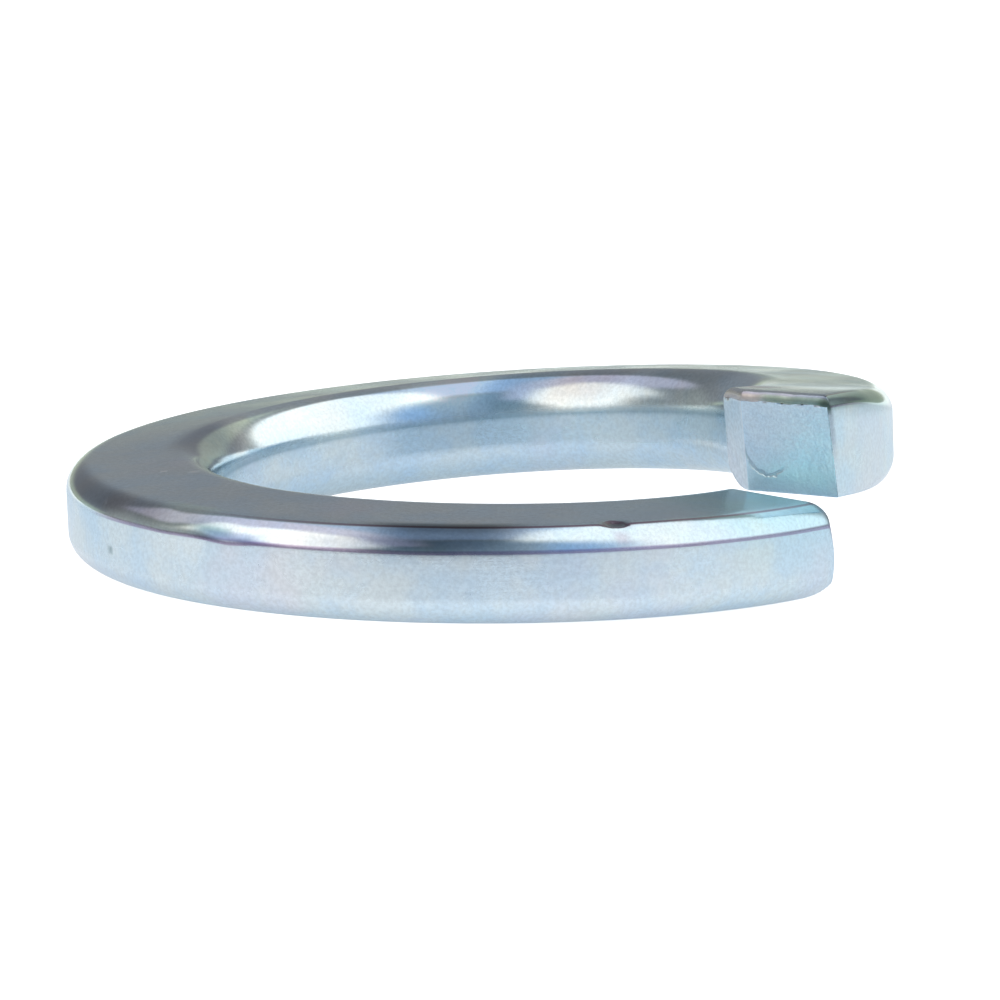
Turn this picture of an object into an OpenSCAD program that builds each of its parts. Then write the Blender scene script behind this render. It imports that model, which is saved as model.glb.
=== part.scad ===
// Spring lock washer for a 20 mm bolt, in millimetres: one coil of rolled steel wire, sheared through.
// The axis of the bore is Z, the lowest point of the coil is at Z = 0, and the cut is on the +X side.
// The coil is left-handed: seen from above it climbs clockwise, from the lower end to the upper one.

/* [Bore and wire] */
// Diameter of the bore
bore_d = 21.2; // [19:0.1:24]
// Width of the wire, from the bore to the outside
wire_w = 6; // [5:0.1:8]
// Thickness of the wire at the middle of its width
wire_t = 4; // [3.4:0.1:5]
// How much thicker coiling has made the wire at the bore than at the outside
keystone = 0.85; // [0:0.05:1]

/* [Rolled corners] */
// Radius of the upper corner at the outside
outer_top_r = 0.95; // [0.4:0.05:1.3]
// Radius of the lower corner at the outside
outer_low_r = 1.05; // [0.4:0.05:1.3]
// Radius of both corners at the bore
bore_r = 1.4; // [0.4:0.05:1.45]
// Step between a rolled corner and the wall below or above it
corner_step = 0.025; // [0.02:0.005:0.05]

/* [Coil] */
// Rise of the coil in one full turn
lead = 3.65; // [3.2:0.05:4.5]
// How far the upper end has sprung up past that rise
end_lift = 0.3; // [0:0.01:0.6]
// Arc before the upper end over which it lifts and loses its keystone and rolled corners, in degrees
fade_arc = 32; // [15:1:60]

/* [Sheared ends] */
// Angle in plan between the cut and the radius, in degrees
cut_skew = 9.5; // [0:0.5:20]
// Lean of the cut from the axis, in degrees
cut_lean = 9; // [0:0.5:12]
// Clear distance between the two cut faces
cut_gap = 0.9; // [0.1:0.05:1.2]
// How far the lower cut face stands proud at the middle of its height
cut_crown = 0.18; // [0:0.02:0.3]
// Radius left on the lower outer corner at the upper end
end_r = 0.15; // [0.1:0.05:0.4]
// Radius left on the upper outer corner at the upper end
end_top_r = 0.5; // [0.2:0.05:0.9]
// Radius left on the upper corner at the bore, at the upper end
end_bore_r = 0.45; // [0.1:0.05:1]
// Radius of the edge that the shear has drawn over, on top of the upper end
drawn_r = 0.42; // [0.1:0.02:0.6]
// Radius of the edge that the shear has drawn over, under the lower end
low_drawn_r = 0.9; // [0.1:0.05:1.2]
// Width of the bevel that the shear has left beside the bore, on top of the upper end
bevel_w = 1.65; // [1.65:0.05:2.5]
// How much narrower that bevel is at the underside
bevel_taper = 0.1; // [0:0.05:0.1]
// Angle by which that bevel falls back from the cut face, in degrees
bevel_angle = 37; // [0:1:45]

/* [Hidden] */

bore_radius = bore_d / 2;
mid_radius = bore_radius + wire_w / 2;
outer_radius = bore_radius + wire_w;
wall_margin = 0.4;      // how far the swept band runs past the bore and the outside before it is trimmed
arc_steps = 5;          // facets in each rolled corner
coil_steps = 90;        // facets round the coil
drawn_steps = 5;        // facets over each drawn edge
free_height = lead + end_lift + wire_t;
trim_clear = 1;         // how far the trimming tube runs past the coil, below and above

function ease(x) = let (c = min(1, max(0, x))) c * c * (3 - 2 * c);
function mix(a, b, x) = a + (b - a) * x;

// Share of the fade at an angle travelled down the coil from its start
function faded(travel) = ease((travel - 360 + fade_arc) / fade_arc);

// Height of the wire's underside, at mid width, at an angle travelled up the coil
function rise(travel) = lead * travel / 360 + end_lift * faded(travel);

// A rolled corner as [radius from the axis, height in the wire]: it starts on the flat and ends at the wall
function corner(wall, inward, flat, upward, r) = [
    for (i = [0:arc_steps])
        let (a = 90 * i / arc_steps)
        [wall + inward * (corner_step + r * (1 - sin(a))), flat - upward * r * (1 - cos(a))]
];

function backward(list) = [for (i = [len(list) - 1:-1:0]) list[i]];

// Distance from the axis to the crease between the bevel and the cut face, at a height in the wire
function crease_radius(height) = bore_radius + bevel_w - bevel_taper * (1 - height / wire_t);

// The wire's section before keystoning: under the bore, under the outside, over the outside, over the bore.
// The upper end keeps the roll under its bore.
function section(fade) =
    let (
        in_r = mix(bore_r, end_bore_r, fade),
        low_r = mix(outer_low_r, end_r, fade),
        top_r = mix(outer_top_r, end_top_r, fade),
        under_bore = corner(bore_radius, 1, 0, -1, bore_r),
        under_outside = corner(outer_radius, -1, 0, -1, low_r),
        over_outside = corner(outer_radius, -1, wire_t, 1, top_r),
        over_bore = corner(bore_radius, 1, wire_t, 1, in_r),
        inside = bore_radius - wall_margin,
        outside = outer_radius + wall_margin
    )
    concat(
        [[inside, bore_r]], backward(under_bore), [[crease_radius(0), 0]],
        under_outside, [[outside, low_r], [outside, wire_t - top_r]],
        backward(over_outside), [[crease_radius(wire_t), wire_t]],
        over_bore, [[inside, wire_t - in_r]]
    );

// Thickens the section toward the bore, and takes a drawn edge off its top or its underside
function shaped(p, fade, top_drop, low_drop) =
    let (
        half = wire_t / 2,
        k = 1 + (1 - fade) * keystone / wire_t * (mid_radius - p[0]) / wire_w,
        low = (low_drop - half) * k,
        top = (half - top_drop) * k
    )
    [p[0], half + min(top, max(low, (p[1] - half) * k))];

// Angle at which a point of the section meets the cut, side = 1 on the upper end and -1 on the lower one.
// The cut is a plane through mid width on the X axis at the height where the ends part.
function cut_angle(p, side, base, bevel, angle = 0, tries = 4) =
    tries == 0 ? angle :
    let (
        z = p[1] + base - lead * angle / 360,
        back = bevel * max(0, crease_radius(p[1]) - p[0]) * tan(bevel_angle),
        proud = side > 0 ? 0 : cut_crown * max(0, 1 - pow(2 * p[1] / wire_t - 1, 2)),
        across = mid_radius * sin(cut_skew) + side * cut_gap / 2 + back + proud - (z - lead) * tan(cut_lean)
    )
    cut_angle(p, side, base, bevel, asin(across / p[0]) - cut_skew, tries - 1);

// Depth lost to a drawn edge of radius r at a distance from the cut
function drawn(d, r) = d >= r ? 0 : r - sqrt(r * r - pow(r - d, 2));

// Distances from the cut at which a drawn edge of radius r has a ring
function draw_rings(r) = [for (i = [0:drawn_steps]) r * (1 - cos(90 * i / drawn_steps))];

// A ring of the band: its share of the way round, and its distance from the lower and from the upper cut
rings = concat(
    [for (d = draw_rings(low_drawn_r)) [0, d, drawn_r]],
    [for (i = [1:coil_steps - 1]) [i / coil_steps, low_drawn_r, drawn_r]],
    [for (d = backward(draw_rings(drawn_r))) [1, low_drawn_r, d]]
);

function ring_points(ring) =
    let (
        share = ring[0],
        fade = faded(360 * share),
        top_drop = drawn(ring[2], drawn_r),
        low_drop = drawn(ring[1], low_drawn_r),
        outline = [for (p = section(fade)) shaped(p, fade, top_drop, low_drop)]
    )
    [for (p = outline)
        let (
            start = -cut_angle(p, -1, 0, 0) + asin(ring[1] / p[0]),
            end = 360 - cut_angle(p, 1, rise(360), 1) - asin(ring[2] / p[0]),
            travel = mix(start, end, share)
        )
        [p[0] * cos(travel), -p[0] * sin(travel), p[1] + rise(travel)]
    ];

// The swept band, from its rings of points
module coiled_band(points) {
    n = len(section(0));
    count = len(rings);
    half = n / 2;
    skin = [for (j = [0:count - 2], i = [0:n - 1])
        let (a = j * n + i, b = j * n + (i + 1) % n, c = b + n, d = a + n)
        each [[a, c, b], [a, d, c]]];
    // Each end is a strip of facets from the bore to the outside, between the underside and the top
    end_strip = [for (i = [0:half - 2]) each [[i, i + 1, n - 2 - i], [i, n - 2 - i, n - 1 - i]]];
    last = (count - 1) * n;
    far_strip = [for (face = end_strip) [for (i = backward(face)) last + i]];
    polyhedron(points = points, faces = concat(skin, end_strip, far_strip), convexity = 6);
}

// The tube of space between the bore and the outside diameter
module trimming_tube() {
    height = free_height + 2 * trim_clear;
    translate([0, 0, -trim_clear]) difference() {
        cylinder(h = height, r = outer_radius, $fn = 180);
        translate([0, 0, -trim_clear]) cylinder(h = height + 2 * trim_clear, r = bore_radius, $fn = 180);
    }
}

module lock_washer() {
    points = [for (ring = rings) each ring_points(ring)];
    lowest = min([for (p = points) p[2]]);
    color([0.76, 0.80, 0.83]) translate([0, 0, -lowest]) intersection() {
        coiled_band(points);
        trimming_tube();
    }
}

lock_washer();
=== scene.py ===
"""The looks of a spring lock washer in bright zinc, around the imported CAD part, in metres unless said."""
import math

import bmesh
import bpy
import numpy as np
from mathutils import Matrix, Vector


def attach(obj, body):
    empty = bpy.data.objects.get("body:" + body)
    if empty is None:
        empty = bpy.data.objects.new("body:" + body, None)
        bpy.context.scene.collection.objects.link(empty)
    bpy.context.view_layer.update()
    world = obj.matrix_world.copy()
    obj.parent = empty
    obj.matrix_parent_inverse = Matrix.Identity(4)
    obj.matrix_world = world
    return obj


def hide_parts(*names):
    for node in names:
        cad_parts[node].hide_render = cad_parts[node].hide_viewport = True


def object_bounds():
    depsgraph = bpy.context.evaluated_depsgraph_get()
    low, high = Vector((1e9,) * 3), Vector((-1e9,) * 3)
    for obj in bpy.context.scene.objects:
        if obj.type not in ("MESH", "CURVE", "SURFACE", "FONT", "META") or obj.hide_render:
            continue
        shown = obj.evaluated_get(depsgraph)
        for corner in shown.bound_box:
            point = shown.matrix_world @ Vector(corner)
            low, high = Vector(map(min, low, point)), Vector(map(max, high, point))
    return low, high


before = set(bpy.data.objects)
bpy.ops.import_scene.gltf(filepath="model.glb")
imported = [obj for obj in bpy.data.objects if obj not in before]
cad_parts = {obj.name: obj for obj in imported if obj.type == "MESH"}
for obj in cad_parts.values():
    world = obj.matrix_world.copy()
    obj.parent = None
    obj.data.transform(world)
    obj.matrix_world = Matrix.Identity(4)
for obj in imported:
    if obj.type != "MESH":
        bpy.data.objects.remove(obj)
cad_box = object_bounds()

MM = 0.001

# The coil, in millimetres, as in the part's source
BORE_RADIUS = 10.6
WIRE_W = 6.0
WIRE_T = 4.0
KEYSTONE = 0.85
OUTER_LOW_R = 1.05
BORE_LOW_R = 1.4
LEAD = 3.65
END_LIFT = 0.3
FADE_ARC = 32.0
CUT_SKEW = math.radians(9.5)
CUT_LEAN = math.radians(9.0)
CUT_GAP = 0.9
END_R = 0.15
END_TOP_R = 0.5
BEVEL_W = 1.65
BEVEL_TAPER = 0.1
BEVEL_ANGLE = math.radians(37.0)
MID_RADIUS = BORE_RADIUS + WIRE_W / 2
OUTER_RADIUS = BORE_RADIUS + WIRE_W

# Forms that are finer here than in the part's source, in millimetres: the wire's two upper corners, the upper
# end's corner at the bore, and how far the lower cut face bulges, and draws back below a height
OUTER_TOP_R = 1.05
BORE_TOP_R = 1.58
END_BORE_R = 0.8
CUT_CROWN = 0.30
RETREAT = 0.62
RETREAT_HEIGHT = 2.0
RETREAT_POWER = 1.7
CREASE_SOFTNESS = 0.03

# Radii of the edges at the two cuts: over the top, under the bottom, at the outside, at the bore
UPPER_EDGES = dict(top=0.42, low=0.04, out=0.1, bore=0.1)
LOWER_EDGES = dict(top=0.1, low=0.9, out=0.3, bore=0.15)

# How finely the coil is drawn: END_RINGS are the distances from a cut at which it has rings, and HEADROOM is how
# far it stays under the top of the CAD box, both in millimetres. Points within MERGE_WITHIN metres become one.
ARC_STEPS = 12
WALL_ROWS = 25
FLAT_STEPS = 22
COIL_RINGS = 480
CREASE_ROWS = np.array([-0.06, -0.02, 0.02, 0.06])
END_RINGS = [0, 0.003, 0.01, 0.02, 0.035, 0.055, 0.08, 0.11, 0.15, 0.2, 0.26,
             0.33, 0.41, 0.5, 0.6, 0.72, 0.86, 1.0]
END_REACH = END_RINGS[-1]
CUT_TRIES = 5
HEADROOM = 0.0005
MERGE_WITHIN = 2e-8

# Marks of handling: degrees up the coil, then in millimetres the radius and height in the wire, the depth, and
# the reach along and across
DENTS = [
    (87.5, 16.5, 3.3, 0.07, 0.9, 0.35),
    (99.0, 16.35, 3.55, 0.05, 0.9, 0.4),
    (61.0, 16.4, 3.5, 0.02, 1.6, 0.5),
    (24.0, 16.3, 3.6, 0.02, 1.0, 0.4),
    (348.0, 16.2, 3.6, 0.04, 0.9, 0.5),
]

# Where the outer corner has been struck flat: degrees up the coil, height that is left, reach along
STRUCK_AT, STRUCK_HEIGHT, STRUCK_REACH = 32.2, 3.66, 0.4

# Stains, scratches and painted light, which is marked where it stands: painted highlights and glints, painted
# shade and painted dark reflections. Degrees up the coil, radius and height in the wire, reach along and across, a
# colour to multiply by, and how much of it
STAINS_AND_PAINTED_LIGHT = [
    # Painted dark reflection along the outer corner at the front, with a painted dark line where the corner meets
    # the wall
    (56.0, 16.25, 3.6, 3.0, 0.8, (0.28, 0.31, 0.35), 0.95),
    (63.0, 16.55, 3.2, 3.6, 0.3, (0.55, 0.55, 0.62), 0.8),
    (55.0, 15.9, 3.93, 2.7, 0.42, (0.50, 0.50, 0.48), 0.9),
    # Painted dark reflection in the dent on the outer corner
    (90.0, 16.5, 3.25, 1.0, 0.22, (0.42, 0.55, 0.60), 0.9),
    (87.0, 16.55, 3.1, 1.5, 0.16, (0.40, 0.46, 0.66), 0.9),
    (86.0, 16.6, 2.95, 1.9, 0.09, (0.40, 0.38, 0.60), 0.8),
    (32.0, 15.82, 3.88, 0.5, 0.3, (0.20, 0.16, 0.18), 0.95),
    # A painted glint by the struck corner
    (35.2, 15.9, 3.95, 0.2, 0.1, (1.4, 1.35, 1.35), 0.8),
    (32.4, 16.5, 3.4, 0.3, 0.3, (0.84, 0.70, 0.74), 0.8),
    (96.0, 15.7, 3.85, 1.6, 0.3, (1.12, 1.2, 1.0), 0.5),
    # Painted shade on the outer corner at the left, where its highlight ends
    (97.5, 16.4, 3.5, 2.6, 0.5, (0.66, 0.66, 0.60), 0.75),
    (108.0, 16.3, 3.6, 2.4, 0.55, (0.50, 0.46, 0.50), 0.8),
    (113.5, 16.6, 1.7, 0.16, 0.16, (0.45, 0.52, 0.52), 0.9),
    # Painted glints
    (123.0, 13.2, 4.0, 0.1, 0.12, (1.6, 1.6, 1.6), 0.9),
    (114.5, 16.45, 3.5, 0.12, 0.12, (1.6, 1.6, 1.6), 0.9),
    (119.0, 12.3, 4.0, 0.14, 0.2, (1.5, 1.5, 1.5), 0.8),
    (114.5, 15.1, 4.0, 0.9, 0.035, (1.35, 1.4, 1.3), 0.8),
    (108.0, 15.3, 4.0, 0.5, 0.03, (1.3, 1.35, 1.25), 0.7),
    (74.0, 15.6, 3.98, 0.3, 0.04, (0.7, 0.7, 0.7), 0.7),
    (4.0, 13.5, 4.0, 3.0, 3.2, (0.62, 0.87, 0.89), 0.9),
    # Painted shade on the outer corner at the left, where its highlight ends
    (126.0, 16.3, 3.6, 4.6, 0.6, (0.38, 0.36, 0.38), 0.85),
    # Painted highlights and painted dark reflections along the far part of the rolled corner at the bore
    (158.0, 11.5, 3.9, 3.2, 1.0, (0.50, 0.47, 0.50), 0.85),
    (188.0, 11.3, 3.6, 3.0, 1.0, (1.25, 1.18, 1.10), 0.9),
    (251.0, 11.2, 3.7, 1.7, 1.1, (0.60, 0.72, 0.82), 0.9),
    (236.0, 11.4, 3.7, 2.2, 1.0, (1.45, 1.40, 1.32), 0.9),
    (268.0, 11.2, 3.7, 1.8, 1.0, (0.70, 0.65, 0.65), 0.9),
    (294.0, 11.2, 3.7, 3.2, 1.2, (0.60, 0.62, 0.64), 0.85),
    (10.0, 13.5, 4.0, 5.4, 3.2, (0.84, 0.95, 0.97), 0.8),
    (352.0, 16.6, 2.0, 8.0, 2.2, (0.86, 0.94, 0.94), 0.9),
    # Painted shade on the outer corner by the upper cut
    (334.0, 16.4, 3.65, 7.5, 0.62, (0.56, 0.60, 0.57), 0.9),
]

# Height of the painted dark line, a painted dark reflection under the rolled upper corner at the bore
PAINTED_LINE_HEIGHT = 2.52


def ease(x):
    c = np.clip(x, 0, 1)
    return c * c * (3 - 2 * c)


def mix(a, b, x):
    return a + (b - a) * x


def faded(travel):
    """Share by which the section has lost its keystone and rolls, at an angle travelled up the coil."""
    return ease((travel - 360 + FADE_ARC) / FADE_ARC)


def rise(travel):
    return LEAD * travel / 360 + END_LIFT * faded(travel)


def crease_radius(height):
    return BORE_RADIUS + BEVEL_W - BEVEL_TAPER * (1 - height / WIRE_T)


def side_points(bore_r, outer_r, height, upward):
    """One broad side of the wire's section, from the bore wall to the outside wall, as (radius, height)."""
    a = np.radians(np.linspace(0, 90, ARC_STEPS + 1))
    near = np.stack([BORE_RADIUS + bore_r * (1 - np.cos(a)), height - upward * bore_r * (1 - np.sin(a))], 1)
    crease = crease_radius(height) + CREASE_ROWS
    end = OUTER_RADIUS - outer_r
    radii = np.concatenate([crease, np.linspace(crease[-1], end, FLAT_STEPS + 2)[1:-1]])
    middle = np.stack([radii, np.full(len(radii), float(height))], 1)
    far = np.stack([end + outer_r * np.sin(a), height - upward * outer_r * (1 - np.cos(a))], 1)
    return np.concatenate([near, middle, far])


def section_grid(fade):
    """The wire's section as a grid: columns from the bore to the outside, rows from the underside to the top."""
    low = side_points(BORE_LOW_R, mix(OUTER_LOW_R, END_R, fade), 0.0, -1)
    top = side_points(mix(BORE_TOP_R, END_BORE_R, fade), mix(OUTER_TOP_R, END_TOP_R, fade), WIRE_T, 1)
    share = np.linspace(0, 1, WALL_ROWS)[None, :, None]
    return low[:, None] * (1 - share) + top[:, None] * share


def loop_of(grid):
    """A section grid's outline: along the underside, up the outside, back over the top and down the bore."""
    return np.concatenate([grid[:, 0], grid[-1, 1:-1], grid[::-1, -1], grid[0, -2:0:-1]])


def drop(d, radius):
    """Depth lost to a rounded edge of a radius, at a distance from the cut."""
    inside = np.clip(radius - d, 0, None)
    return radius - np.sqrt(radius ** 2 - inside ** 2)


def shaped(p, fade, upper_d, lower_d):
    """Section points with the keystone, and rounded over toward a cut. The upper end's top edge is ragged."""
    ragged = 1 + 0.06 * np.sin(3.1 * p[..., 0] + 0.5) + 0.03 * np.sin(7.3 * p[..., 0] + 1.7)
    top = ragged * drop(upper_d / ragged, UPPER_EDGES["top"]) + drop(lower_d, LOWER_EDGES["top"])
    low, out, bore = (drop(upper_d, UPPER_EDGES[side]) + drop(lower_d, LOWER_EDGES[side])
                      for side in ("low", "out", "bore"))
    half = WIRE_T / 2
    k = 1 + (1 - fade) * KEYSTONE / WIRE_T * (MID_RADIUS - p[..., 0]) / WIRE_W
    h = half + np.minimum((half - top) * k, np.maximum((low - half) * k, (p[..., 1] - half) * k))
    r = np.minimum(OUTER_RADIUS - out, np.maximum(BORE_RADIUS + bore, p[..., 0]))
    return np.stack([r, h], -1)


def cut_angle(p, side, base, bevel):
    """Angle in degrees at which section points meet the cut: side is 1 on the upper end and -1 on the lower."""
    angle = np.zeros(p.shape[:-1])
    inset = crease_radius(p[..., 1]) - p[..., 0]
    back = bevel * 0.5 * (inset + np.sqrt(inset ** 2 + CREASE_SOFTNESS ** 2)) * math.tan(BEVEL_ANGLE)
    if side < 0:
        back = back + CUT_CROWN * np.clip(1 - (2 * p[..., 1] / WIRE_T - 1) ** 2, 0, None)
        back = back - RETREAT * np.clip(1 - p[..., 1] / RETREAT_HEIGHT, 0, 1) ** RETREAT_POWER
    for _ in range(CUT_TRIES):
        z = p[..., 1] + base - LEAD * angle / 360
        across = MID_RADIUS * math.sin(CUT_SKEW) + side * CUT_GAP / 2 + back - (z - LEAD) * math.tan(CUT_LEAN)
        angle = np.degrees(np.arcsin(across / p[..., 0])) - math.degrees(CUT_SKEW)
    return angle


def placed(p, share, upper_d, lower_d):
    """Section points in space, in millimetres, at a share of the way round, and the angles that they are at."""
    start = -cut_angle(p, -1, 0.0, 0) + np.degrees(np.arcsin(lower_d / p[..., 0]))
    end = 360 - cut_angle(p, 1, rise(360.0), 1) - np.degrees(np.arcsin(upper_d / p[..., 0]))
    travel = mix(start, end, share)
    a = np.radians(travel)
    z = p[..., 1] + rise(travel)
    return np.stack([p[..., 0] * np.cos(a), -p[..., 0] * np.sin(a), z], -1), travel


def dented(p, travel):
    """Section points pushed in toward the middle of the wire where something has struck it."""
    middle = np.array([MID_RADIUS, WIRE_T / 2])
    inward = middle - p
    inward = inward / np.maximum(np.linalg.norm(inward, axis=-1, keepdims=True), 1e-6)
    push = np.zeros(p.shape[:-1])
    for at, radius, height, depth, along, across in DENTS:
        run = math.radians(travel - at) * radius
        off = np.hypot(p[..., 0] - radius, p[..., 1] - height)
        push += depth * math.exp(-(run / along) ** 2) * np.exp(-(off / across) ** 2)
    p = p + inward * push[..., None]
    window = math.exp(-(math.radians(travel - STRUCK_AT) * OUTER_RADIUS / STRUCK_REACH) ** 4)
    over = np.clip(p[..., 1] - STRUCK_HEIGHT + 0.1 * (p[..., 0] - 16.3), 0, None)
    p[..., 1] -= window * ease((p[..., 0] - 15.3) / 0.4) * over
    return p


def toned(tint, share, colour):
    return tint * (1 - share[:, None] * (1 - np.array(colour)))


def upper_end_tones(p, travel, upper_d, tint):
    """The upper end: the drawn-over edge, with a painted dark reflection toward the outside, a smear by the bevel,
    painted shade on the outer corner, and its outer wall darker by the cut.
    """
    radius, height = p[:, 0], p[:, 1]
    left = math.radians(360.0 - travel) * MID_RADIUS
    edge = ease((height - 3.2) / 0.3) * (1 - ease((upper_d - 0.05) / 0.15))
    out = ease((radius - 12.9) / 0.8)
    # Painted dark reflection on the outer part of the drawn-over edge; toward the bore, a pinkish tone
    tint = toned(tint, edge * out, (0.40, 0.47, 0.41))
    tint = toned(tint, edge * (1 - out), (0.80, 0.70, 0.68))
    smear = ease((height - 3.3) / 0.4) * np.exp(-((left - 0.9) / 0.9) ** 2 - ((radius - 11.8) / 1.3) ** 2)
    tint = toned(tint, smear, (0.98, 0.82, 0.80))
    # Painted shade on the outer corner by the cut
    corner = np.exp(-((height - 3.66) / 0.24) ** 4) * ease((radius - 15.9) / 0.3) * math.exp(-(left / 4.4) ** 4)
    tint = toned(tint, 0.9 * corner, (0.52, 0.57, 0.52))
    # The outer wall darker by the cut
    edge_strip = np.exp(-((radius - 16.45) / 0.25) ** 4) * (1 - ease((upper_d - 0.1) / 0.25))
    tint = toned(tint, 0.7 * edge_strip * ease((height - 1.2) / 1.5), (0.55, 0.50, 0.52))
    return tint, 0.2 * edge + 0.2 * smear


def lower_end_tones(p, lower_d, tint):
    """Painted shade round the upper outer corner of the lower cut, where its rounded edge turns from the light."""
    outer = ease((p[:, 0] - 15.2) / 0.6) * ease((p[:, 1] - 2.2) / 1.0)
    edge = outer * (1 - ease((lower_d - 0.12) / 0.3))
    return toned(tint, edge, (0.52, 0.47, 0.48)), 0.2 * edge


def tinted(p, travel, upper_d, lower_d):
    """Marks of the shear and plating, and painted highlights, shade and reflections: a colour to multiply by, and
    roughness.
    """
    tint = np.ones((len(p), 3))
    if travel > 180:
        tint, dull = upper_end_tones(p, travel, upper_d, tint)
    else:
        tint, dull = lower_end_tones(p, lower_d, tint)
    # Painted dark reflection: a dark line under the rolled corner at the bore
    painted_dark_line = np.exp(-((p[:, 1] - PAINTED_LINE_HEIGHT) / 0.14) ** 2) * (1 - ease((p[:, 0] - 10.66) / 0.08))
    tint = toned(tint, 0.75 * painted_dark_line, (0.46, 0.56, 0.60))
    for at, radius, height, along, across, colour, amount in STAINS_AND_PAINTED_LIGHT:
        run = math.radians(travel - at) * radius
        off = np.hypot(p[:, 0] - radius, p[:, 1] - height)
        tint = toned(tint, amount * math.exp(-(run / along) ** 4) * np.exp(-(off / across) ** 4), colour)
    return tint, dull


# Which of the mesh's materials a face has
SKIN, CUT, BEVEL = 0, 1, 2


class WireMesh:
    """The washer's mesh as it is built up: points and their paint, faces and their UVs and materials."""

    def __init__(self):
        self.points, self.tints, self.dulls = [], [], []
        self.faces, self.uvs, self.slots = [], [], []
        self.count = 0
        self.loop = 0

    def add_points(self, points, tint, dull):
        self.points.append(points)
        self.tints.append(tint)
        self.dulls.append(dull)
        self.count += len(points)

    def add_face(self, corners, uvs, slot):
        self.faces.append(tuple(int(c) for c in corners))
        self.uvs += uvs
        self.slots.append(slot)

    def skin(self):
        """The rings round the wire, from the lower cut to the upper one, and the faces between them."""
        rings = [(0.0, END_REACH, d) for d in END_RINGS]
        rings += [(j / COIL_RINGS, END_REACH, END_REACH) for j in range(1, COIL_RINGS)]
        rings += [(1.0, d, END_REACH) for d in reversed(END_RINGS)]
        along, around = [], []
        for share, upper_d, lower_d in rings:
            turn = 360.0 * share
            fade = faded(turn)
            p = dented(shaped(loop_of(section_grid(fade)), fade, upper_d, lower_d), turn)
            xyz, travel = placed(p, share, upper_d, lower_d)
            self.add_points(xyz, *tinted(p, turn, upper_d, lower_d))
            along.append(np.radians(travel) * MID_RADIUS)
            step = np.linalg.norm(np.diff(p, axis=0, append=p[:1]), axis=1)
            around.append(np.concatenate([[0], np.cumsum(step)]))
        self.loop = n = len(along[0])
        for j in range(len(rings) - 1):
            for i in range(n):
                k = (i + 1) % n
                self.add_face((j * n + i, j * n + k, (j + 1) * n + k, (j + 1) * n + i),
                              [(along[j][i], around[j][i]), (along[j][k], around[j][i + 1]),
                               (along[j + 1][k], around[j + 1][i + 1]), (along[j + 1][i], around[j + 1][i])], SKIN)

    def cap(self, upper, first):
        """The cut face of the upper or the lower end, within the ring of the skin whose points start at first."""
        lower_d, upper_d = (END_REACH, 0) if upper else (0, END_REACH)
        fade = faded(360.0 * upper)
        grid = section_grid(fade)
        cols, rows = grid.shape[:2]
        p = shaped(grid, fade, upper_d, lower_d)
        xyz, _ = placed(p, float(upper), upper_d, lower_d)
        index = np.full((cols, rows), -1)
        for k, (i, j) in enumerate(loop_of(np.stack(np.mgrid[:cols, :rows], -1))):
            index[i, j] = first + k
        inner = xyz[1:-1, 1:-1].reshape(-1, 3)
        index[1:-1, 1:-1] = (self.count + np.arange(len(inner))).reshape(cols - 2, rows - 2)
        self.add_points(inner, np.ones((len(inner), 3)), np.zeros(len(inner)))
        for i in range(cols - 1):
            for j in range(rows - 1):
                quad = [(i, j), (i + 1, j), (i + 1, j + 1), (i, j + 1)]
                if not upper:
                    quad.reverse()
                slot = BEVEL if upper and i < ARC_STEPS + 2 else CUT
                self.add_face([index[q] for q in quad], [(p[q][0], p[q][1]) for q in quad], slot)


def washer_mesh():
    wire = WireMesh()
    wire.skin()
    last = wire.count - wire.loop
    wire.cap(False, 0)
    wire.cap(True, last)
    points = np.concatenate(wire.points)
    points[:, 2] -= points[:, 2].min()
    points[:, 2] *= (cad_box[1][2] / MM - HEADROOM) / points[:, 2].max()
    mesh = bpy.data.meshes.new("washer_body")
    mesh.from_pydata([tuple(p) for p in points * MM], [], wire.faces)
    mesh.uv_layers.new(name="wire").data.foreach_set("uv", np.array(wire.uvs, np.float32).ravel())
    tint = mesh.attributes.new("tint", "FLOAT_VECTOR", "POINT")
    tint.data.foreach_set("vector", np.concatenate(wire.tints).astype(np.float32).ravel())
    dull = mesh.attributes.new("dull", "FLOAT", "POINT")
    dull.data.foreach_set("value", np.concatenate(wire.dulls).astype(np.float32))
    mesh.polygons.foreach_set("use_smooth", [True] * len(wire.faces))
    mesh.validate()
    mesh.polygons.foreach_set("material_index", np.array(wire.slots, np.int32))
    mesh.update()
    return mesh


mesh = washer_mesh()
washer = bpy.data.objects.new("washer_body", mesh)
bpy.context.scene.collection.objects.link(washer)


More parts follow.
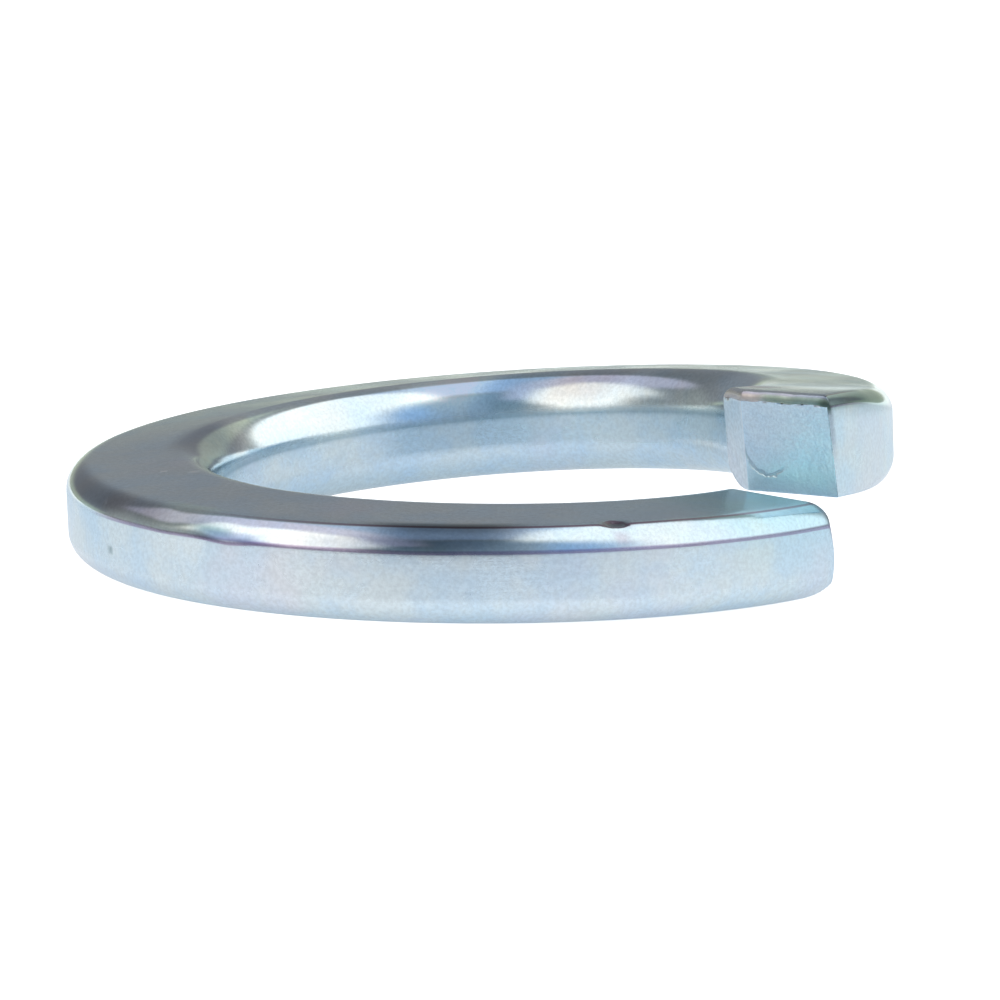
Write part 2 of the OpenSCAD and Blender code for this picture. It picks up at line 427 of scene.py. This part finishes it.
class Nodes:
    """A node tree that is built up by short calls."""

    def __init__(self, tree):
        self.tree = tree
        tree.nodes.clear()

    def add(self, kind, inputs=None, **settings):
        node = self.tree.nodes.new(kind)
        for key, value in settings.items():
            setattr(node, key, value)
        for key, value in (inputs or {}).items():
            if isinstance(value, bpy.types.NodeSocket):
                self.tree.links.new(value, node.inputs[key])
            else:
                node.inputs[key].default_value = value
        return node

    def math(self, operation, a, b=0.0):
        return self.add("ShaderNodeMath", {0: a, 1: b}, operation=operation).outputs[0]

    def product(self, *factors):
        result = factors[0]
        for factor in factors[1:]:
            result = self.math("MULTIPLY", result, factor)
        return result

    def vector(self, operation, a, b, output="Vector"):
        return self.add("ShaderNodeVectorMath", {0: a, 1: b}, operation=operation).outputs[output]

    def dot(self, a, b):
        return self.vector("DOT_PRODUCT", a, b, "Value")

    def length(self, a):
        return self.add("ShaderNodeVectorMath", {0: a}, operation="LENGTH").outputs["Value"]

    def span(self, value, low, high, to_low=0.0, to_high=1.0):
        """A smooth step from to_low to to_high while the value goes from low to high."""
        inputs = {0: value, 1: low, 2: high, 3: to_low, 4: to_high}
        return self.add("ShaderNodeMapRange", inputs, interpolation_type="SMOOTHSTEP").outputs[0]

    def blend(self, factor, a, b):
        return self.add("ShaderNodeMix", {0: factor, 6: a, 7: b}, data_type="RGBA").outputs[2]

    def noise(self, vector, scale, detail=2.0, rough=0.5):
        inputs = {"Scale": scale, "Detail": detail, "Roughness": rough, "Vector": vector}
        return self.add("ShaderNodeTexNoise", inputs).outputs["Fac"]


class Metal(Nodes):
    """Bright zinc: casts of colour, a roughness that wanders and a fine grain."""

    def __init__(self, name):
        self.material = bpy.data.materials.new(name)
        self.material.use_nodes = True
        super().__init__(self.material.node_tree)
        self.place = self.add("ShaderNodeTexCoord").outputs["Object"]
        self.wire = self.add("ShaderNodeUVMap", uv_map="wire").outputs[0]

    def attribute(self, name, output):
        return self.add("ShaderNodeAttribute", attribute_name=name).outputs[output]

    def casts(self, cool, warm, blush, low, high, grain=9000.0):
        """Two broad casts of the plating, a faint blush over them, and a fine mottle between two strengths."""
        colour = self.blend(self.span(self.noise(self.place, 330.0, 4.0, 0.6), 0.36, 0.64), (*cool, 1), (*warm, 1))
        spot = self.span(self.noise(self.place, 210.0, 3.0), 0.52, 0.72)
        colour = self.blend(self.product(spot, 0.4), colour, (*blush, 1))
        mottle = self.span(self.noise(self.place, grain, 3.0, 0.6), 0.3, 0.7, low, high)
        return self.add("ShaderNodeVectorMath", {0: colour, "Scale": mottle}, operation="SCALE").outputs[0]

    def finish(self, colour, rough, height, depth):
        bump = self.add("ShaderNodeBump", {"Strength": 1.0, "Distance": depth, "Height": height}).outputs[0]
        shader = self.add("ShaderNodeBsdfPrincipled",
                          {"Metallic": 1.0, "Base Color": colour, "Roughness": rough, "Normal": bump})
        self.add("ShaderNodeOutputMaterial", {"Surface": shader.outputs[0]})
        return self.material


# On the washer itself: out to the middle of its front, the side that faces the camera and holds the painted dark
# reflection, and from there along it toward the cut
FRONT = (0.557, -0.83, 0.0)
FRONT_TO_CUT = (0.83, 0.557, 0.0)


def painted_reflection_fringes(t, colour, normal, lift):
    """Painted reflection fringes: thin coloured lines at the front, where the upper outer corner starts and ends.
    """
    level_place = t.vector("MULTIPLY", t.place, (1, 1, 0))
    outward = t.span(t.dot(normal, level_place), 0.0, 0.001)
    near_side = t.span(t.dot(t.place, FRONT), 0.006, 0.0095)
    outward = t.product(outward, near_side)
    along_front = t.span(t.dot(t.place, FRONT_TO_CUT), -0.013, -0.002)
    start = t.product(t.span(lift, 0.90, 0.925), t.span(lift, 0.945, 0.965, 1.0, 0.0))
    stop = t.product(t.span(lift, 0.04, 0.08), t.span(lift, 0.15, 0.25, 1.0, 0.0))
    colour = t.blend(t.product(start, outward, t.product(along_front, 0.75)), colour, (0.30, 0.13, 0.22, 1))
    return t.blend(t.product(stop, outward, 0.65), colour, (0.32, 0.21, 0.40, 1))


def zinc():
    """The rolled skin of the wire: glossy on its corners, duller and faintly lined on its walls and flats."""
    t = Metal("zinc_plate")
    colour = t.casts((0.67, 0.81, 0.90), (0.76, 0.84, 0.85), (0.83, 0.79, 0.84), 0.92, 1.05, 6500.0)
    normal = t.add("ShaderNodeNewGeometry").outputs["Normal"]
    lift = t.dot(normal, (0, 0, 1))
    steep = t.math("ABSOLUTE", lift)
    wall = t.span(steep, 0.05, 0.25, 1.0, 0.0)
    flat = t.span(steep, 0.9, 0.99)
    colour = painted_reflection_fringes(t, colour, normal, lift)
    colour = t.vector("MULTIPLY", colour, t.attribute("tint", "Vector"))
    wander = t.span(t.noise(t.place, 420.0, 3.0), 0.3, 0.7, -0.03, 0.04)
    rough = t.math("ADD", t.math("ADD", 0.12, wander), t.product(wall, 0.16))
    rough = t.math("ADD", rough, t.product(flat, 0.10))
    rough = t.math("ADD", rough, t.attribute("dull", "Fac"))
    fine = t.noise(t.place, 5200.0, 3.0, 0.6)
    along = t.add("ShaderNodeMapping", {"Scale": (0.3, 6.0, 1.0), "Vector": t.wire}).outputs[0]
    height = t.math("ADD", fine, t.product(t.noise(along, 1.0, 3.0, 0.6), 0.5))
    corner = t.product(t.math("SUBTRACT", 1.0, wall), t.math("SUBTRACT", 1.0, flat))
    height = t.product(height, t.span(t.math("SUBTRACT", 1.0, corner), 0.0, 1.0, 0.3, 1.0))
    return t.finish(colour, rough, height, 0.0000045)


def sheared():
    """The broken face of the cut: matt and mottled, with the curved mark that the tool has left."""
    t = Metal("zinc_on_sheared_steel")
    colour = t.casts((0.70, 0.85, 0.96), (0.80, 0.90, 0.98), (0.84, 0.84, 0.95), 0.90, 1.05)
    low = t.span(t.add("ShaderNodeSeparateXYZ", {0: t.wire}).outputs[1], 0.3, 1.7, 1.0, 0.0)
    colour = t.blend(t.product(low, 0.55), colour, (0.52, 0.76, 0.80, 1))
    from_centre = t.vector("SUBTRACT", t.wire, (13.25, 1.75, 0))
    wobble = t.product(t.math("SUBTRACT", t.noise(t.wire, 3.0, 3.0), 0.5), 0.3)
    off = t.math("ABSOLUTE", t.math("SUBTRACT", t.math("ADD", t.length(from_centre), wobble), 1.06))
    lower_part = t.span(t.dot(from_centre, (0.45, 1.0, 0)), -0.75, -0.2, 1.0, 0.0)
    mark = t.product(t.span(off, 0.03, 0.11, 1.0, 0.0), lower_part)
    colour = t.blend(t.product(mark, 0.55), colour, (0.36, 0.46, 0.52, 1))
    coarse = t.noise(t.place, 1500.0, 4.0, 0.65)
    fine = t.noise(t.place, 6000.0, 3.0, 0.6)
    height = t.math("ADD", t.product(coarse, 3.0), fine)
    height = t.math("SUBTRACT", height, t.product(mark, 2.5))
    rough = t.span(t.noise(t.place, 900.0, 3.0), 0.3, 0.7, 0.36, 0.5)
    return t.finish(colour, rough, height, 0.000014)


def burnished():
    """The bevel beside the bore, which the tool has rubbed smoother than the broken face."""
    t = Metal("zinc_on_burnished_steel")
    colour = t.casts((0.74, 0.84, 0.90), (0.82, 0.88, 0.90), (0.85, 0.84, 0.90), 0.88, 1.06, 6000.0)
    # Lighter along the bevel's edge by the crease
    edge_strip = t.span(t.add("ShaderNodeSeparateXYZ", {0: t.wire}).outputs[0], 12.08, 12.2)
    colour = t.blend(t.product(edge_strip, 0.8), colour, (0.92, 0.94, 0.95, 1))
    height = t.math("ADD", t.product(t.noise(t.place, 2200.0, 3.0), 2.0), t.noise(t.place, 7000.0, 3.0))
    rough = t.span(t.noise(t.place, 900.0, 3.0), 0.3, 0.7, 0.3, 0.4)
    return t.finish(colour, rough, height, 0.000008)


# In the order of SKIN, CUT and BEVEL
for material in (zinc(), sheared(), burnished()):
    mesh.materials.append(material)

# Where a rounded edge runs out in a corner of the lower cut, its points fall together and become one
whole = bmesh.new()
whole.from_mesh(mesh)
bmesh.ops.remove_doubles(whole, verts=whole.verts[:], dist=MERGE_WITHIN)
whole.to_mesh(mesh)
whole.free()

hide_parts("lock_washer")
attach(washer, "root")

# The view: the camera stands 56 degrees round from the cut, a little above the washer, and is slightly rolled
TURN = math.radians(33.8793)
TILT = math.radians(8.3096)
ROLL = math.radians(2.1836)
DISTANCE = 0.1973025
CENTRE = Vector((0, 0, 0.003907))
level = Vector((-math.sin(TURN), math.cos(TURN), 0))
right = Vector((math.cos(TURN), math.sin(TURN), 0))
forward = level * math.cos(TILT) - Vector((0, 0, math.sin(TILT)))
up = right.cross(forward)
cam_x = right * math.cos(ROLL) - up * math.sin(ROLL)
cam_y = right * math.sin(ROLL) + up * math.cos(ROLL)
lens = bpy.data.cameras.new("camera")
lens.sensor_width = 36.0
lens.lens = 176.58
lens.shift_x = 0.01968
lens.shift_y = -0.02028
lens.clip_start = 0.01
lens.clip_end = 20.0
camera = bpy.data.objects.new("camera", lens)
camera.matrix_world = Matrix.Translation(CENTRE - forward * DISTANCE) @ Matrix(
    (cam_x, cam_y, -forward)).transposed().to_4x4()
bpy.context.scene.collection.objects.link(camera)
bpy.context.scene.camera = camera

# Panels of the studio, later ones over earlier ones. Along a direction's shares to the right, away from the camera
# and up, each has its (from, full, full, to). A limit that no direction reaches leaves that side open.
OPEN = (-3, -2, 2, 3)
PANELS = [
    ("far wall", OPEN, (0.45, 0.65, 2, 3), OPEN, (0.25, 0.26, 0.28)),
    ("far glow", (0.12, 0.24, 0.5, 0.7), (0.55, 0.75, 2, 3), (0.02, 0.1, 0.6, 0.75), (0.48, 0.53, 0.46)),
    ("far edge", OPEN, (0.5, 0.7, 2, 3), (-3, -2, 0.06, 0.145), (0.50, 0.56, 0.46)),
    ("camera side", (-0.55, -0.3, 0.45, 0.6), (-3, -2, -0.6, -0.3), OPEN, (0.24, 0.32, 0.37)),
    ("camera", (-0.2, -0.05, 0.25, 0.42), (-3, -2, -0.6, -0.4), OPEN, (0.30, 0.39, 0.49)),
    ("blue card", (0.22, 0.38, 0.7, 0.9), (-3, -2, -0.5, -0.3), (-0.1, 0.1, 0.7, 0.85), (0.30, 0.46, 0.70)),
    ("roof glow", (-0.4, -0.2, 0.3, 0.5), (-0.5, -0.3, 0.45, 0.6), (0.55, 0.7, 2, 3), (0.48, 0.58, 0.76)),
    ("left roof", (-0.85, -0.72, -0.28, -0.16), (-0.85, -0.65, 0.5, 0.62), (0.42, 0.58, 2, 3), (0.75, 0.70, 0.82)),
    ("left softbox", (-0.98, -0.86, -0.46, -0.31), (-0.88, -0.74, -0.02, 0.2), (0.0, 0.14, 0.85, 0.95),
     (1.50, 1.42, 1.34)),
    ("right softbox", (0.11, 0.18, 2, 3), (-0.95, -0.65, 0.26, 0.40), (0.0, 0.16, 2, 3), (1.18, 1.20, 1.20)),
]
# This panel leans over the washer, so its share away from the camera is taken along a tilted line
LEANING_PANEL = "right softbox"
LEANING_AWAY = level + Vector((0, 0, -0.35))


def studio():
    world = bpy.data.worlds.new("studio")
    bpy.context.scene.world = world
    world.use_nodes = True
    t = Nodes(world.node_tree)
    ray = t.add("ShaderNodeTexCoord").outputs["Generated"]
    to_right, away, upward = (t.dot(ray, tuple(axis)) for axis in (right, level, Vector((0, 0, 1))))
    leaning = t.dot(ray, tuple(LEANING_AWAY))
    colour = t.blend(t.span(upward, 0.2, 0.9), (0.38, 0.40, 0.40, 1), (0.34, 0.35, 0.36, 1))
    for name, *sides, paint in PANELS:
        mask = 1.0
        shares = (to_right, leaning if name == LEANING_PANEL else away, upward)
        for share, (start, full, last, end) in zip(shares, sides):
            if start > -1:
                mask = t.product(mask, t.span(share, start, full))
            if end < 1.5:
                mask = t.product(mask, t.span(share, last, end, 1.0, 0.0))
        colour = t.blend(mask, colour, (*paint, 1))
    path = t.add("ShaderNodeLightPath").outputs
    direct = t.math("MAXIMUM", path["Is Camera Ray"], path["Is Transmission Ray"])
    colour = t.blend(direct, colour, (1, 1, 1, 1))
    back = t.add("ShaderNodeBackground", {"Strength": 1.0, "Color": colour})
    t.add("ShaderNodeOutputWorld", {"Surface": back.outputs[0]})


studio()
bpy.context.scene.view_settings.view_transform = "Standard"

# What the washer lies on
FLOOR_SIZE = 3.0
half = FLOOR_SIZE / 2
floor_mesh = bpy.data.meshes.new("floor")
corners = [(-half, -half, 0), (half, -half, 0), (half, half, 0), (-half, half, 0)]
floor_mesh.from_pydata(corners, [], [(0, 1, 2, 3)])
floor = bpy.data.objects.new("floor", floor_mesh)
bpy.context.scene.collection.objects.link(floor)


def floor_paint():
    """White to the camera. To the metal it glows as a painted reflection: painted shade inside the ring, a blue
    far side, a brighter far part and a dark end at the front.
    """
    material = bpy.data.materials.new("floor_white")
    material.use_nodes = True
    t = Nodes(material.node_tree)
    path = t.add("ShaderNodeLightPath").outputs
    mirrored = path["Is Glossy Ray"]
    seen = t.math("MAXIMUM", path["Is Camera Ray"], path["Is Transmission Ray"])
    place = t.add("ShaderNodeTexCoord").outputs["Object"]
    sideways, away = t.dot(place, tuple(right)), t.dot(place, tuple(level))
    # Painted shade in the floor's reflection, inside the ring
    within = t.span(t.length(place), 0.009, 0.0145, 1.0, 0.0)
    # Painted dark end of the floor's reflection at the front
    front = t.product(t.span(away, -0.062, -0.038, 1.0, 0.0), mirrored)
    blue = t.product(t.span(sideways, -0.02, -0.035), t.span(away, -0.01, 0.01))
    sheen = t.blend(blue, (0.84, 0.90, 0.98, 1), (0.34, 0.58, 0.76, 1))
    sheen = t.blend(t.product(within, 0.85), sheen, (0.32, 0.54, 0.76, 1))
    # Painted light: the floor's reflection brighter far away
    sheen = t.blend(t.span(away, 0.04, 0.15), sheen, (2.0, 2.2, 2.0, 1))
    sheen = t.blend(front, sheen, (0.06, 0.05, 0.10, 1))
    glow = t.add("ShaderNodeEmission", {
        "Color": t.blend(mirrored, (1, 1, 1, 1), sheen),
        "Strength": t.math("ADD", t.product(seen, 0.85), t.product(mirrored, 0.31)),
    })
    matt = t.add("ShaderNodeBsdfDiffuse", {"Color": t.blend(front, (0.8, 0.8, 0.8, 1), (0.05, 0.04, 0.08, 1))})
    both = t.add("ShaderNodeAddShader", {0: glow.outputs[0], 1: matt.outputs[0]})
    # Seen from below, the floor lets the underside of the washer show
    below = t.add("ShaderNodeNewGeometry").outputs["Backfacing"]
    clear = t.add("ShaderNodeBsdfTransparent")
    side = t.add("ShaderNodeMixShader", {0: below, 1: both.outputs[0], 2: clear.outputs[0]})
    t.add("ShaderNodeOutputMaterial", {"Surface": side.outputs[0]})
    return material


floor_mesh.materials.append(floor_paint())
